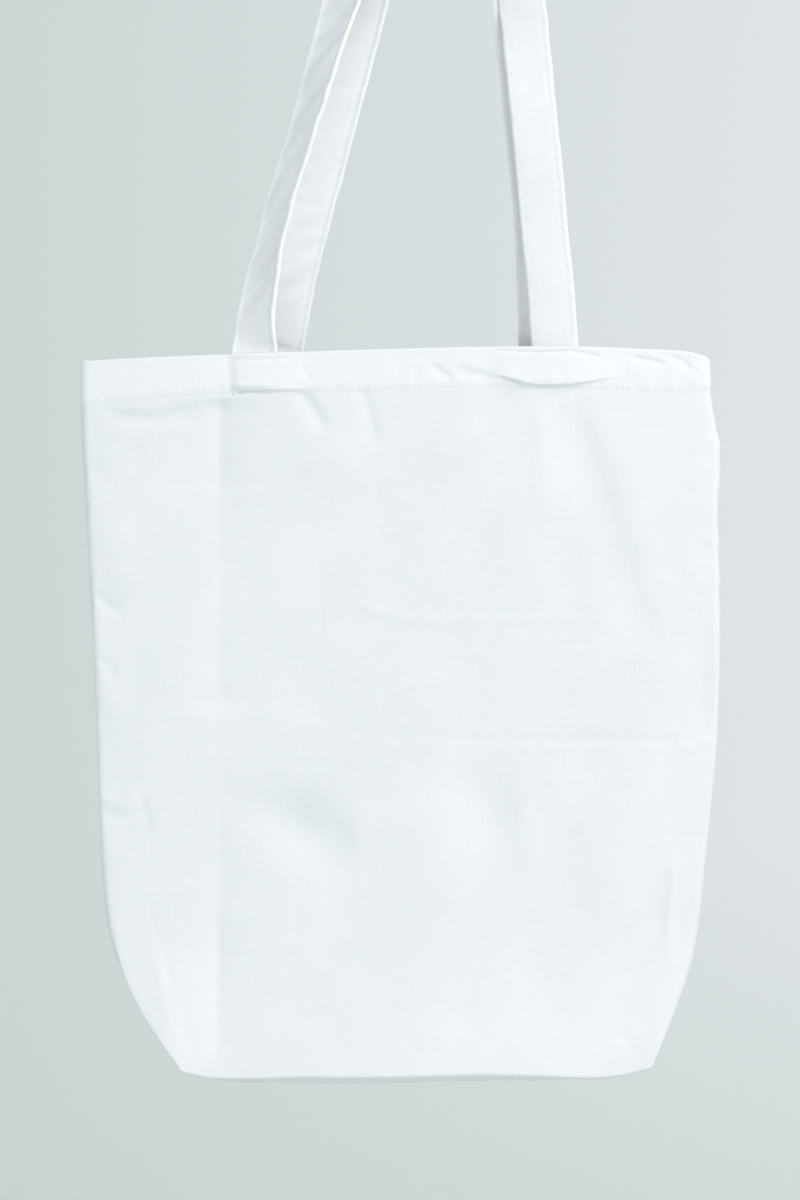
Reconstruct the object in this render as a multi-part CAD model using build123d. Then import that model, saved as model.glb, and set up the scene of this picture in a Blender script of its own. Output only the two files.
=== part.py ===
from build123d import *
from math import cos, exp, hypot, radians, sin, tan
import os

# Canvas tote bag with a boxed base, hanging from its two long straps.
# Millimetres. +Z is up, +X runs along the mouth, the front faces -Y.
# The origin is on the ground plane under the middle of the base, at the lowest point of the sagging base.

# Bag, laid flat
FLAT_WIDTH = 380.0  # side seam to side seam
BASE_LENGTH = 282.0  # flat width less the depth that the boxed corners take up
BASE_DEPTH = 94.0  # front base edge to back base edge, as it hangs
CANVAS = 0.9
LAYER_GAP = 0.05  # between plies that are sewn together

# Bag, hanging
HEIGHT = 438.0  # lowest point of the base to the top of the hem
MOUTH_WIDTH = 377.0
MOUTH_DEPTH = 22.0
BELLY_DEPTH = 40.0  # what the depth would be at the base without the box
BASE_SAG = 10.0  # the middle of the base hangs this far under its edges
SAG_FLAT = (224.0, 44.0)  # the lowest part of the base, along X and Y
WIDTH_RAMP = 60.0  # height over which the boxed corner widens to the side seams
DEPTH_RAMP = 85.0  # height over which the box's depth closes up
SOFT_LOW = 10.0  # how far the rounding of the body's corners reaches at the base
SOFT_HIGH = 45.0  # and at the mouth
LEVELS = (BASE_SAG, 30.0, 53.0, 80.0, 118.0, 170.0, 230.0, 300.0, 360.0)

# Hem and seams
HEM = 24.0
SEAM_ALLOWANCE = 10.0
SEAM_THICKNESS = 1.8  # two plies of canvas
STITCH = 0.6  # width of a row of stitches
STITCH_PROUD = 0.3
HEM_ROW_RISE = 1.5  # row of stitches above the lower edge of the hem
TOP_ROW_DROP = 4.0  # row of stitches over each strap, below the top of the hem

# Straps
STRAP_WIDTH = 28.0
STRAP_THICKNESS = 2.0
STRAP_CLEARANCE = 0.3  # free strap above the hem
STRAP_ROW_INSET = 2.5  # edge stitching, in from each edge of a strap
SPANS = 18  # faces along a strap
SPAN_POINTS = 3  # steps along each corner of a face
# The middle of each strap, as (X, height above the hem): up the left leg and down the right one, with the
# radius that it turns at the top, and how far each leg has twisted low down and high up
FRONT_STRAP = {
    "left": [(-84, 0), (-82, 32), (-73, 76), (-57, 121), (-43, 159), (-26, 212)],
    "right": [(82.8, 209), (87.1, 148), (91.2, 86), (94.6, 36), (96, 0)],
    "radius": 43.0,
    "twist_left": (50.0, 45.0),
    "twist_right": (0.0, 4.0),
}
BACK_STRAP = {
    "left": [(-70, 0), (-59, 51), (-49.8, 82), (-31.5, 145), (-12.5, 209)],
    "right": [(79, 209), (83.5, 139), (87.7, 85), (89, 23), (89, 0)],
    "radius": 35.8,
    "twist_left": (0.0, 28.0),
    "twist_right": (0.0, 4.0),
}
TWIST_LOW = 60.0  # height above the hem where the first of those angles is reached
TWIST_HIGH = 205.0  # and the second
TWIST_START = 175.0  # height where each leg starts to turn outwards
TWIST_END = 275.0  # by here the strap's flat side faces outwards, as it does all the way over the top

HEM_LINE = HEIGHT - HEM
SIDES = {"left": -1, "right": 1}
FACES = {"front": -1, "back": 1}


def half_width(z):
    """Side seam's distance from the middle at height z."""
    top = MOUTH_WIDTH / 2
    return top - (top - BASE_LENGTH / 2) * exp(-(z - BASE_SAG) / WIDTH_RAMP)


def half_depth(z):
    """Front panel's distance from the middle at height z."""
    taper = (BELLY_DEPTH - (BELLY_DEPTH - MOUTH_DEPTH) * z / HEIGHT) / 2
    return taper + (BASE_DEPTH - BELLY_DEPTH) / 2 * exp(-(z - BASE_SAG) / DEPTH_RAMP)


def half_flat(a, b):
    """Where the front turns towards the side seam, so that the girth stays twice the flat width."""
    reach = FLAT_WIDTH / 2
    return min(a, (reach**2 - a**2 - b**2) / (2 * (reach - a)))


def outline(a, f, b, inset, z, lift=0.0):
    """Closed six-sided cross-section with rounded front and back corners, moved in by inset."""
    side = hypot(a - f, b)
    seam = a - inset * side / b
    turn = f - inset * (side - (a - f)) / b
    deep = b - inset
    flank = hypot(seam - turn, deep)
    soft = min(SOFT_LOW + (SOFT_HIGH - SOFT_LOW) * z / HEIGHT, turn / 2)
    edges = []
    for face in (-1, 1):
        seam_point = Vector(face * seam, 0, z + lift)
        corner = Vector(face * turn, face * deep, z + lift)
        far_corner = Vector(-face * turn, face * deep, z + lift)
        far_seam = Vector(-face * seam, 0, z + lift)
        along = Vector(-face * soft, 0, 0)
        first = seam_point + (corner - seam_point) * 0.5
        second = corner + along
        third = far_corner - along
        fourth = far_seam + (far_corner - far_seam) * 0.5
        edges += [
            Edge.make_line(seam_point, first),
            Edge.make_bezier(first, corner, second),
            Edge.make_line(second, third),
            Edge.make_bezier(third, far_corner, fourth),
            Edge.make_line(fourth, far_seam),
        ]
    return Wire(edges)


def body_outline(z, inset, lift=0.0):
    a = half_width(z)
    b = half_depth(z)
    return outline(a, half_flat(a, b), b, inset, z, lift)


def bag_volume(inset, lift):
    """Everything inside the canvas, or inside a ply that is inset from it."""
    length, depth = SAG_FLAT
    wires = [outline(length / 2, length / 2, depth / 2, inset, 0, lift)]
    wires += [body_outline(z, inset, lift if z == BASE_SAG else 0) for z in LEVELS]
    wires += [body_outline(z, inset) for z in (HEM_LINE, HEIGHT)]
    return Solid.make_loft(wires, ruled=True)


def hem_ring(outer, inner):
    """One ply that follows the mouth between the hem line and the top."""
    levels = (HEM_LINE, HEIGHT)
    outside = Solid.make_loft([body_outline(z, outer) for z in levels], ruled=True)
    inside = Solid.make_loft([body_outline(z, inner) for z in levels], ruled=True)
    return outside - inside


def block(x, y, z):
    """Box between pairs of limits."""
    size = (x[1] - x[0], y[1] - y[0], z[1] - z[0])
    return Pos(sum(x) / 2, sum(y) / 2, sum(z) / 2) * Box(*size)


def half_space(face):
    """The front half, -1, or the back half, 1."""
    reach = FLAT_WIDTH
    return block((-reach, reach), sorted((0, face * reach)), (-reach, 2 * HEIGHT))


def panels():
    shell = bag_volume(0, 0) - bag_volume(CANVAS, CANVAS)
    return {f"{name}_panel": shell & half_space(face) for name, face in FACES.items()}


def hems():
    start = CANVAS + LAYER_GAP
    ring = hem_ring(start, start + CANVAS)
    return {f"{name}_hem": ring & half_space(face) for name, face in FACES.items()}


def hem_stitching():
    ring = hem_ring(-STITCH_PROUD - LAYER_GAP, -LAYER_GAP)
    low = HEM_LINE + HEM_ROW_RISE
    reach = FLAT_WIDTH
    return ring & block((-reach, reach), (-reach, reach), (low, low + STITCH))


def side_seams(cavity):
    """Two-ply fins that follow the side seams inside the bag, from the boxed corner to the hem."""
    levels = (*LEVELS, HEM_LINE)
    wires = []
    for z in levels:
        a = half_width(z)
        b = half_depth(z)
        inner = a - CANVAS * hypot(a - half_flat(a, b), b) / b - SEAM_ALLOWANCE
        wires.append(Wire.make_rect(2 * inner, 4 * SEAM_THICKNESS).moved(Location((0, 0, z))))
    core = Solid.make_loft(wires, ruled=True)
    low = BASE_SAG + 2 * CANVAS + SEAM_ALLOWANCE
    seams = {}
    for name, side in SIDES.items():
        x = sorted((0, side * FLAT_WIDTH))
        y = (-SEAM_THICKNESS / 2, SEAM_THICKNESS / 2)
        slab = block(x, y, (low, HEM_LINE - CANVAS))
        seams[f"{name}_side_seam"] = (cavity & slab) - core
    return seams


def bottom_seam(cavity):
    x = BASE_LENGTH / 2 - 2 * SEAM_ALLOWANCE
    y = SEAM_THICKNESS / 2
    return cavity & block((-x, x), (-y, y), (0, SEAM_ALLOWANCE))


def corner_seams(cavity):
    """Two-ply strips inside the boxed corners, across the bag just above the base's ends."""
    core = bag_volume(CANVAS + LAYER_GAP + SEAM_THICKNESS, CANVAS)
    low = BASE_SAG + 2 * CANVAS
    end = BASE_LENGTH / 2 - 3 * CANVAS
    seams = {}
    for name, side in SIDES.items():
        x = sorted((side * end, side * FLAT_WIDTH))
        y = BASE_DEPTH / 2 - SEAM_ALLOWANCE
        strip = block(x, (-y, y), (low, low + SEAM_ALLOWANCE - LAYER_GAP))
        seams[f"{name}_corner_seam"] = (cavity - core) & strip
    return seams


def strap_ends():
    """The sewn ends of the straps, flat inside the hem, and the row of stitches over each."""
    start = 2 * (CANVAS + LAYER_GAP)
    ply = hem_ring(start, start + STRAP_THICKNESS)
    rows = hem_ring(-STITCH_PROUD - LAYER_GAP, -LAYER_GAP)
    high = HEIGHT - TOP_ROW_DROP
    half = STRAP_WIDTH / 2
    parts = {}
    for strap, face in FACES.items():
        y = sorted((0, face * FLAT_WIDTH))
        for side in SIDES:
            x = STRAPS[strap][side][0 if side == "left" else -1][0]
            width = (x - half, x + half)
            parts[f"{strap}_{side}_strap_end"] = ply & block(width, y, (HEM_LINE, HEIGHT))
            parts[f"{strap}_{side}_strap_stitching"] = rows & block(width, y, (high, high + STITCH))
    return parts


def ramp(value, start, end):
    share = min(1.0, max(0.0, (value - start) / (end - start)))
    return share * share * (3 - 2 * share)


def strap_depth(face):
    """Distance of a sewn strap's middle from the middle of the bag, at the hem."""
    inset = 2 * (CANVAS + LAYER_GAP) + STRAP_THICKNESS / 2
    return face * (half_depth(HEIGHT) - inset)


def arc_between(low_left, left, right, low_right, radius):
    """Arc of that radius, tangent to the lines through the two top points of each leg."""
    up = (left - low_left).normalized()
    down = (low_right - right).normalized()
    lean = up.X / up.Z
    drift = down.X / down.Z
    rise = (right.X - left.X - drift * (right.Z - left.Z)) / (lean - drift)
    meet = left + up * (rise / up.Z)
    half = radians(180 - up.get_angle(down)) / 2
    back = radius / tan(half)
    start = meet - up * back
    end = meet + down * back
    centre = meet + (down - up).normalized() * (radius / sin(half))
    top = centre + (meet - centre).normalized() * radius
    return Edge.make_three_point_arc(start, top, end)


class Loop:
    """A strap's free length: a leg that leaves the hem upright, an arc over the top, and a leg down."""

    def __init__(self, shape, face):
        self.shape = shape
        self.face = face
        self.base = HEIGHT + STRAP_CLEARANCE
        left = [Vector(x, 0, h) for x, h in shape["left"]]
        right = [Vector(x, 0, h) for x, h in shape["right"]]
        arc = arc_between(left[-2], left[-1], right[0], right[1], shape["radius"])
        start = arc.position_at(0)
        end = arc.position_at(1)
        upright = Vector(0, 0, 1)
        rise = Edge.make_spline([*left, start], tangents=[upright, arc.tangent_at(0)])
        fall = Edge.make_spline([end, *right], tangents=[arc.tangent_at(1), -upright])
        self.path = Wire([rise, arc, fall])
        self.length = self.path.length
        self.top = max(start.Z, end.Z)

    def point(self, s):
        """Middle of the strap at length s, with the way it runs and the way out of the loop."""
        inside = min(max(s, 0.0), self.length)
        share = inside / self.length
        along = self.path.tangent_at(share)
        place = self.path.position_at(share) + along * (s - inside)
        outward = Vector(-along.Z, 0, along.X)
        y = strap_depth(self.face) * max(0.0, 1 - place.Z / self.top)
        return Vector(place.X, y, self.base + place.Z), along, outward

    def twist(self, s, height):
        """Angle by which the strap's flat side has turned from the front towards the outside."""
        low, high = self.shape["twist_left" if s < self.length / 2 else "twist_right"]
        angle = low * ramp(height, 0, TWIST_LOW)
        angle += (high - low) * ramp(height, TWIST_LOW, TWIST_HIGH)
        angle += (90 - high) * ramp(height, TWIST_START, TWIST_END)
        return radians(angle)

    def corner(self, s, across, through):
        """Point that far across the strap and that far through its thickness."""
        middle, along, outward = self.point(s)
        angle = self.twist(s, middle.Z - self.base)
        normal = Vector(0, -cos(angle), 0) + outward * sin(angle)
        return middle + normal.cross(along) * across + normal * through

    def rail(self, start, end, w, n):
        """One corner of the strap's cross-section, traced between two lengths along it."""
        step = (end - start) / SPAN_POINTS
        stops = [start + step * i for i in range(SPAN_POINTS + 1)]
        path = [self.corner(s, w, n) for s in stops]
        nudge = step / 100
        first = (self.corner(start + nudge, w, n) - self.corner(start, w, n)) / nudge
        last = (path[-1] - self.corner(end - nudge, w, n)) / nudge
        return Edge.make_spline(path, tangents=[first, last], parameters=stops, scale=False)

    def band(self, across, through):
        """Solid that keeps its place across and through the strap, cut level above the hem."""
        corners = [(across[0], through[0]), (across[1], through[0])]
        corners += [(across[1], through[1]), (across[0], through[1])]
        spare = STRAP_WIDTH / 3
        reach = self.length + 2 * spare
        stops = [reach * i / SPANS - spare for i in range(SPANS + 1)]
        faces = []
        for start, end in zip(stops, stops[1:]):
            rails = [self.rail(start, end, w, n) for w, n in corners]
            faces += [Face.make_surface_from_curves(rails[i - 1], rails[i]) for i in range(4)]
        for s in (stops[0], stops[-1]):
            cap = [self.corner(s, w, n) for w, n in corners]
            faces.append(Face(Wire.make_polygon(cap, close=True)))
        wide = (-FLAT_WIDTH, FLAT_WIDTH)
        return Solid(Shell(faces)) & block(wide, wide, (self.base, 2 * HEIGHT))


def handles():
    half = STRAP_WIDTH / 2
    thick = STRAP_THICKNESS / 2
    row = half - STRAP_ROW_INSET
    proud = (thick + LAYER_GAP, thick + LAYER_GAP + STITCH_PROUD)
    parts = {}
    for strap, face in FACES.items():
        loop = Loop(STRAPS[strap], face)
        print(strap, "strap: free length", round(loop.length, 1))
        parts[f"{strap}_handle"] = loop.band((-half, half), (-thick, thick))
        rows = [loop.band((w - STITCH, w), proud) for w in (row, STITCH - row)]
        parts[f"{strap}_handle_stitching"] = Compound(children=rows)
    return parts


STRAPS = {"front": FRONT_STRAP, "back": BACK_STRAP}


def tote_bag():
    cavity = bag_volume(CANVAS + LAYER_GAP, CANVAS + LAYER_GAP)
    parts = panels() | hems() | side_seams(cavity) | corner_seams(cavity)
    parts["bottom_seam"] = bottom_seam(cavity)
    parts["hem_stitching"] = hem_stitching()
    return parts | strap_ends() | handles()


os.makedirs("parts", exist_ok=True)
for node, shape in tote_bag().items():
    export_step(shape, f"parts/{node}.step")
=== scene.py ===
import math

import bpy
import numpy as np
from mathutils import Matrix, Vector


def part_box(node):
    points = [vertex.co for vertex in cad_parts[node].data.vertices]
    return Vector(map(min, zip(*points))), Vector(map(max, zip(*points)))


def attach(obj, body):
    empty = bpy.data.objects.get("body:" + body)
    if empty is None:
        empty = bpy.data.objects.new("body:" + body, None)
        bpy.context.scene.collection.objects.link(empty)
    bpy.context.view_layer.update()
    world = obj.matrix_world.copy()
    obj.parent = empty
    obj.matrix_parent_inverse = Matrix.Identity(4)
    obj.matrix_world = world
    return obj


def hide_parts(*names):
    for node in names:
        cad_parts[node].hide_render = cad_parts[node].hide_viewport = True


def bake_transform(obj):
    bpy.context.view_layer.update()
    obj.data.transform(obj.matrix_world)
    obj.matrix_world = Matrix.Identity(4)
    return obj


# Canvas tote bag that hangs from its two straps. Metres, +Z up, the front faces -Y.
MM = 0.001

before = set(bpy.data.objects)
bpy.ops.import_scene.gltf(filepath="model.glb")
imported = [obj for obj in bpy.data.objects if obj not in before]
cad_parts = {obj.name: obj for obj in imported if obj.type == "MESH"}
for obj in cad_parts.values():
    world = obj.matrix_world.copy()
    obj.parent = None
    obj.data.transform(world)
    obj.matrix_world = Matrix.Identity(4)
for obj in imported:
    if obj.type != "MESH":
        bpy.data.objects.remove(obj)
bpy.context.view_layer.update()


def box_of(node):
    low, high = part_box(node)
    return np.array(low), np.array(high)


panel_high = box_of("front_panel")[1]
hem_low = box_of("front_hem")[0]
TOP = float(panel_high[2])  # top of the hem
HEM_LINE = float(hem_low[2])  # bottom edge of the hem
HALF_WIDTH = float(panel_high[0])
MOUTH = float(-hem_low[1])  # half the mouth's depth, to the hem's outer face
BASE_LEVEL, HEIGHT = 10, 438  # of the outline's tables, in mm
CLOTH = 0.8 * MM
FOLD = 1.0 * MM  # radius of the hem's fold over the top
TURN_IN = 3 * MM  # from the fold down to the top of the hem's inner layer
STRAP = 28 * MM
STRAP_THICK = 1.8 * MM
STRAP_SETBACK = 2.2 * MM  # from the hem's outer face back to the middle of a strap
HEM_ROW = 1.5 * MM  # row of stitches above the hem's lower edge
TOP_ROW = 2.4 * MM  # row of stitches over a strap's end, below the top
EDGE_ROW = 3.2 * MM  # row of stitches in from a strap's edge
STITCH_PITCH = 3.3 * MM
SIDE_SEAM = (26 * MM, 412 * MM)  # heights between which its raw edges run
CORNER_SEAM = 38 * MM  # half the length of a T-seam
SEAM_INSET = 1.2  # from a panel's outer face in to its seam, in mm

COLUMNS = 240  # across a panel, from seam to seam
CORNER = 30  # columns from a side seam to the base's corner
BAND_MARGIN = 4  # columns that the hem's inner layer leaves free at each side seam
HEM_ROWS = 52
HEM_ROWS_FROM = 34 * MM  # rows are close together from this far below the top
WALL_ROWS = 186
BASE_ROW = 2 * MM  # cloth that each row of the base takes up
STRAP_ROWS = 470

# Lengths along a strap, in metres, over which what only its left leg has dies away
RAIL_FADE = (0.3, 0.36)
TURN_FADE = (0.22, 0.3)
# The painted highlight along the front strap's edges dies away over this length
RIM_HIGHLIGHT_FADE = (0.26, 0.36)


def smooth_through(keys, at):
    """A smooth curve through (place, value) keys, read at an array of places."""
    place, value = np.array(keys, float).T
    steps = np.diff(value) / np.diff(place)
    slope = np.concatenate([steps[:1], (steps[1:] + steps[:-1]) / 2, steps[-1:]])
    at = np.clip(at, place[0], place[-1])
    i = np.clip(np.searchsorted(place, at, side="right") - 1, 0, len(place) - 2)
    width = place[i + 1] - place[i]
    t = (at - place[i]) / width
    a, b = value[i], value[i + 1]
    return (
        a * (1 + 2 * t) * (1 - t) ** 2
        + b * t * t * (3 - 2 * t)
        + slope[i] * width * t * (1 - t) ** 2
        + slope[i + 1] * width * t * t * (t - 1)
    )


def ramp(value, start, end):
    t = np.clip((value - start) / (end - start), 0, 1)
    return t * t * (3 - 2 * t)


def bell(value, middle, width):
    return np.exp(-(((value - middle) / width) ** 2))


def ripple(x, z, pitch, seed, stretch=(1.0, 1.0)):
    """Soft irregular waves between about -1 and 1, the same on every run."""
    rng = np.random.default_rng(seed)
    total = 0
    for _ in range(7):
        angle = rng.uniform(0, math.tau)
        rate = rng.uniform(0.7, 1.5) * math.tau / pitch
        phase = rng.uniform(0, math.tau)
        along = math.cos(angle) * x / stretch[0] + math.sin(angle) * z / stretch[1]
        total = total + np.sin(along * rate + phase)
    return total / 3.2


def from_line(x, z, line):
    """Distance from a line of (x, z) points in mm, above 0 on its left-hand side, and how far along the line
    that is, as a share."""
    points = np.array(line, float) * MM
    lengths = np.hypot(*np.diff(points, axis=0).T)
    whole = lengths.sum()
    nearest = np.full(x.shape, 1e9)
    side = np.zeros(x.shape)
    share = np.zeros(x.shape)
    done = 0.0
    for (x0, z0), (x1, z1), length in zip(points, points[1:], lengths):
        dx, dz = (x1 - x0) / length, (z1 - z0) / length
        raw = (x - x0) * dx + (z - z0) * dz
        t = np.clip(raw, 0, length)
        away = np.hypot(x - x0 - dx * t, z - z0 - dz * t)
        cross = (z - z0) * dx - (x - x0) * dz
        closer = away < nearest
        nearest = np.where(closer, away, nearest)
        side = np.where(closer, np.sign(cross), side)
        share = np.where(closer, (done + t) / whole, share)
        done += length
    return nearest * side, share


def crease(x, z, line, width, height, fade=0.15, step=0.0):
    """A ridge, or a valley where height is below 0, along a line, in mm. step lifts its left-hand side."""
    away, share = from_line(x, z, line)
    ends = ramp(share, 0, fade) * ramp(1 - share, 0, fade) if fade else 1.0
    w = width * MM
    ridge = np.exp(-np.abs(away / w) ** 1.3)
    lift = away / w * np.exp(-((away / w) ** 2))
    return (height * ridge + step * lift) * ends * MM


# The bag's outline as it hangs, in mm: height above the base, then distance from the middle
LEFT_EDGE = [(10, 138), (25, 150.8), (45, 165.8), (65, 175.4), (90, 181.8), (119, 184.4), (175, 185.4)]
LEFT_EDGE += [(236, 185.8), (283, 186.4), (319, 187.4), (355, 188), (400, 189.2), (415, 189), (438, 189)]
RIGHT_EDGE = [(10, 137.5), (25, 145.8), (47, 157.4), (69, 166.6), (90, 171.8), (114, 175.6), (164, 182.4)]
RIGHT_EDGE += [(225, 188.2), (314, 191), (344, 191.2), (384, 193.3), (405, 190.3), (419, 188.8), (438, 189)]
# Half the bag's depth
DEPTH = [(10, 46.5), (30, 40.5), (53, 33), (80, 26.5), (118, 20.5), (170, 15.8), (230, 12.8), (300, 11.2)]
DEPTH += [(360, 10.6), (405, 10.8), (438, 11)]
# Share of the width over which a panel lies flat
FLAT_SHARE = [(10, 1.0), (30, 0.995), (53, 0.99), (80, 0.988), (118, 0.99), (340, 0.99), (415, 0.988)]
FLAT_SHARE += [(438, 0.984)]
# Heights across the bag, in mm: from the middle along X, then height
TOP_EDGE = [(-190, 436.6), (-150, 437.6), (-105, 438), (51, 438), (90, 437), (122, 435.7), (147, 433.8)]
TOP_EDGE += [(165, 432.6), (176, 431.2), (184, 428.8), (190, 427)]
BASE_EDGE = [(-141, 19), (-132, 16), (-120, 13.6), (-100, 12.4), (-68, 12.4), (-39, 11.2), (0, 10.6)]
BASE_EDGE += [(37, 10.4), (72, 8.8), (107, 6.8), (125, 8.5), (141, 12)]
# The same along the seam under the base's middle
BASE_SAG = [(-141, 14), (-121, 6), (-100, 4.0), (-75, 2.4), (-30, 1.0), (30, 0.6), (100, 0.6), (121, 2.6)]
BASE_SAG += [(141, 12)]
# The hem's lower edge above its mean level
HEM_DIP = [(-190, -2.5), (-120, 2.5), (-60, 2), (0, 2.3), (70, 1.8), (145, -3), (190, -4.5)]


def soften(rows, sigmas):
    """Smooths each row of points by its own width, in columns, and keeps its two ends."""
    out = rows.copy()
    for r, sigma in enumerate(sigmas):
        reach = int(3 * sigma) + 1
        kernel = np.exp(-0.5 * (np.arange(-reach, reach + 1) / sigma) ** 2)
        kernel /= kernel.sum()
        row = rows[r]
        before = 2 * row[0] - row[1 : reach + 1][::-1]
        after = 2 * row[-1] - row[-reach - 1 : -1][::-1]
        padded = np.vstack([before, row, after])
        for k in range(row.shape[1]):
            out[r, :, k] = np.convolve(padded[:, k], kernel, mode="valid")
    return out


def wall_heights():
    low = np.linspace(0, 1, WALL_ROWS + 1)
    hem_share = 1 - HEM_ROWS_FROM / TOP
    return np.concatenate([low * hem_share, np.linspace(hem_share, 1, HEM_ROWS + 1)[1:]])


def wall_points(face):
    """The outer face of a panel's smooth wall, in rows from the base's edge to the top. face is -1 for the
    front and 1 for the back."""
    share = wall_heights()
    height = BASE_LEVEL + share * (HEIGHT - BASE_LEVEL)
    left = smooth_through(LEFT_EDGE, height)
    right = smooth_through(RIGHT_EDGE, height)
    depth = smooth_through(DEPTH, height)
    flat = smooth_through(FLAT_SHARE, height)
    u = np.linspace(0, 1, COLUMNS + 1)
    rows = np.zeros((len(share), COLUMNS + 1, 2))
    for r in range(len(share)):
        xs = np.array([-left[r], -left[r] * flat[r], right[r] * flat[r], right[r]])
        ys = np.array([0, -depth[r], -depth[r], 0])
        along = np.concatenate([[0], np.cumsum(np.hypot(np.diff(xs), np.diff(ys)))])
        along /= along[-1]
        if r == 0:  # the base's corners fall on columns of their own
            along[1], along[2] = CORNER / COLUMNS, 1 - CORNER / COLUMNS
        rows[r, :, 0] = np.interp(u, along, xs)
        rows[r, :, 1] = np.interp(u, along, ys)
    # The corners of the section are softest where the base's corners open out
    rows = soften(rows, 0.7 + 1.5 * ramp(height, 10, 40) - 0.9 * ramp(height, 120, 180))
    x, y = rows[..., 0], rows[..., 1] * -face
    low = smooth_through(BASE_EDGE, x)
    high = smooth_through(TOP_EDGE, x)
    z = low + (high - low) * share[:, None]
    return np.stack([x, y, z], axis=-1) * MM


def outward(points, face):
    across = np.gradient(points, axis=1)
    up = np.gradient(points, axis=0)
    normal = np.cross(across, up) * -face
    return normal / np.maximum(np.linalg.norm(normal, axis=-1, keepdims=True), 1e-12)


def hem_line(x):
    return HEM_LINE + smooth_through(HEM_DIP, x / MM) * MM


# The middle of each strap in mm, as (X, height above the hem), up its left leg and down its right one; the
# radius that it turns at the top; how deep its left leg's diagonal waves are; and each leg's twist in degrees
# by height
STRAPS = {
    "front": {
        "face": -1,
        "left": [(-83.7, 0), (-82.3, 20), (-77.6, 45), (-71.9, 68), (-65.6, 90), (-57, 116)]
        + [(-44.7, 152), (-33.3, 188), (-25.2, 212)],
        "right": [(82.8, 209), (87.1, 148), (91.1, 86), (92.4, 62), (94.3, 36), (95.8, 0)],
        "radius": 43.0,
        "pull": 1.7,
        "twist_left": [(0, 14), (20, 32), (45, 45), (68, 53), (90, 55), (116, 54), (152, 50)]
        + [(188, 44), (212, 39), (275, 90)],
        "twist_right": [(0, 0), (60, 2), (110, 2), (148, 8), (180, 3), (207, -4), (275, 90)],
    },
    "back": {
        "face": 1,
        "left": [(-70, 0), (-64.2, 26), (-58.4, 51), (-49.8, 82), (-40.2, 114), (-31.1, 145), (-11.4, 209)],
        "right": [(78.8, 209), (83.5, 139), (87.7, 85), (89, 23), (88.8, 0)],
        "radius": 35.8,
        "pull": 0.45,
        "twist_left": [(0, -8), (50, -15), (100, -8), (145, -3), (205, 12), (275, 90)],
        "twist_right": [(0, 0), (60, 0), (205, 4), (275, 90)],
    },
}


def sewn_places(face):
    strap = STRAPS["front" if face < 0 else "back"]
    return [strap["left"][0][0] * MM, strap["right"][-1][0] * MM]


def pleat(x, z, line, depth, left, right, fade=0.1):
    """A pressed fold's sharp valley along a line drawn downwards. left is how far its left flank reaches, as
    seen from the front, and right its right flank, in mm."""
    away, share = from_line(x, z, line)
    ends = ramp(share, 0, fade) * ramp(1 - share, 0, fade)
    reach = np.where(away < 0, left, right) * MM
    return -depth * np.exp(-np.abs(away) / reach) * ends * MM


def dent(x, z, centre, size, tilt, depth):
    """A soft oval hollow, or a swelling where depth is above 0. size is (long, short) in mm, tilt is in
    degrees."""
    turn = math.radians(tilt)
    dx, dz = x / MM - centre[0], z / MM - centre[1]
    along = dx * math.cos(turn) + dz * math.sin(turn)
    across = dz * math.cos(turn) - dx * math.sin(turn)
    return depth * np.exp(-((along / size[0]) ** 2) - (across / size[1]) ** 2) * MM


def overhang(x, z, line, drop, first, last):
    """The hem bulges out over its own stitches and falls back sharply at a line. It fades in over first and
    out over last, both along X."""
    keys = np.array(line, float)
    edge = smooth_through(keys, x / MM) * MM
    fade = ramp(x / MM, *first) * (1 - ramp(x / MM, *last))
    above = np.maximum(z - edge, 0)
    step = ramp(z, edge - 0.45 * MM, edge + 0.55 * MM)
    return drop * MM * fade * step * (0.3 + 0.7 * np.exp(-above / (9 * MM)))


HEM_FOLD_RIGHT = [(50, 421.8), (62, 421), (70, 418.6), (78, 416), (101.7, 414.6), (113.7, 415.8)]
HEM_FOLD_RIGHT += [(142, 419.5)]


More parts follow.
